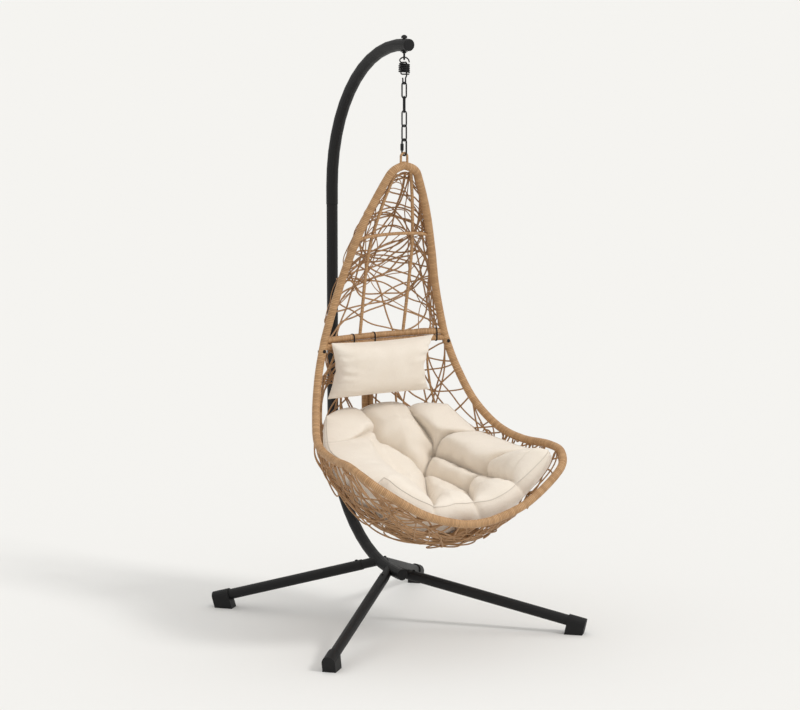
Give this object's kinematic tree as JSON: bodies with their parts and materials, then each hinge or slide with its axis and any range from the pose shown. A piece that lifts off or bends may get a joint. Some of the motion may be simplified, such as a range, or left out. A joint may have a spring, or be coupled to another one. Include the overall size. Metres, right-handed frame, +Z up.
{
  "type": "hanging egg chair",
  "caption": "Woven egg-shaped garden seat hung by a coil and chain from a bent tubular stand, with seat cushion and head pillow",
  "frame": {"origin": "on the floor, under the middle of the outer box of the whole object", "axes": "+Z up; the seat opens towards -Y and the stand's pole stands behind it towards +Y; +X is the sitter's left"},
  "size_m": [0.9972, 1.0867, 1.9638],
  "materials": {
    "black_steel": "matt powder coat",
    "black_plastic": "matt moulded plastic",
    "dark_steel": "blackened steel, satin",
    "wrapped_rattan": "tube wrapped with flat synthetic rattan, satin",
    "rattan_strand": "round synthetic rattan, satin",
    "cream_fabric": "plain woven polyester cover, matt"
  },
  "bodies": {
    "stand": {"lower_pole": "black_steel", "upper_pole": "black_steel", "pole_top_cap": "black_plastic", "pole_hub_cap": "black_plastic", "pole_joint_screw": "dark_steel", "eye_bolt": "dark_steel", "eye_bolt_washer": "dark_steel", "eye_bolt_nut": "dark_steel", "boot_front_left": "black_plastic", "boot_front_right": "black_plastic", "boot_rear_left": "black_plastic", "boot_rear_right": "black_plastic", "leg_front_left": "black_steel", "leg_front_right": "black_steel", "leg_rear_left": "black_steel", "leg_rear_right": "black_steel", "leg_screw_front_left": "dark_steel", "leg_screw_front_right": "dark_steel", "leg_screw_rear_left": "dark_steel", "leg_screw_rear_right": "dark_steel"},
    "spring_top": {"spring_upper_drawbar": "dark_steel", "coil_spring": "dark_steel"},
    "spring_bottom": {"spring_lower_drawbar": "dark_steel"},
    "link_1": {"chain_link_1": "dark_steel"},
    "link_2": {"chain_link_2": "dark_steel"},
    "link_3": {"chain_link_3": "dark_steel"},
    "link_4": {"chain_link_4": "dark_steel"},
    "connector": {"quick_link": "dark_steel", "quick_link_nut": "dark_steel"},
    "basket": {"back_post_left": "wrapped_rattan", "back_post_right": "wrapped_rattan", "back_rib_arch": "wrapped_rattan", "back_rib_left": "wrapped_rattan", "back_rib_right": "wrapped_rattan", "bar_tie_1": "black_plastic", "bar_tie_2": "black_plastic", "bar_tie_3": "black_plastic", "hanging_loop": "wrapped_rattan", "head_pillow": "cream_fabric", "joint_bolt_left": "black_steel", "joint_bolt_right": "black_steel", "joint_nut_left": "black_steel", "joint_nut_right": "black_steel", "lower_crossbar": "wrapped_rattan", "lower_rim": "wrapped_rattan", "lower_weave": "rattan_strand", "seat_cushion": "cream_fabric", "seat_rib_1": "wrapped_rattan", "seat_rib_2": "wrapped_rattan", "seat_rib_3": "wrapped_rattan", "seat_rib_4": "wrapped_rattan", "upper_crossbar": "wrapped_rattan", "upper_rim": "wrapped_rattan", "upper_weave": "rattan_strand"}
  },
  "joints": [
    {"name": "swing", "type": "hinge", "parent": "stand", "child": "spring_top", "pos_m": [0, -0.06918, 1.8886], "axis": [1, 0, 0], "range_deg": [-20, 7]},
    {"name": "bounce", "type": "slide", "parent": "spring_top", "child": "spring_bottom", "axis": [0, 0, -1], "range_m": [0, 0.005], "stiffness_N_per_m": 32000, "springref_m": -0.0037, "deforming": ["coil_spring"]},
    {"name": "sway", "type": "hinge", "parent": "spring_bottom", "child": "link_1", "pos_m": [0, -0.06918, 1.8088], "axis": [0, 1, 0], "range_deg": [-8, 8]},
    {"name": "twist_2", "type": "hinge", "parent": "link_1", "child": "link_2", "pos_m": [0, -0.06918, 1.7629], "axis": [0, 0, 1], "range_deg": [-12, 12]},
    {"name": "twist_3", "type": "hinge", "parent": "link_2", "child": "link_3", "pos_m": [0, -0.06918, 1.717], "axis": [0, 0, 1], "range_deg": [-12, 12]},
    {"name": "twist_4", "type": "hinge", "parent": "link_3", "child": "link_4", "pos_m": [0, -0.06918, 1.6711], "axis": [0, 0, 1], "range_deg": [-12, 12]},
    {"name": "twist_5", "type": "hinge", "parent": "link_4", "child": "connector", "pos_m": [0, -0.06918, 1.6252], "axis": [0, 0, 1], "range_deg": [-12, 12]},
    {"name": "basket_turn", "type": "hinge", "parent": "connector", "child": "basket", "pos_m": [0, -0.06918, 1.5787], "axis": [0, 0, 1], "range_deg": [-4, 15]}
  ]
}
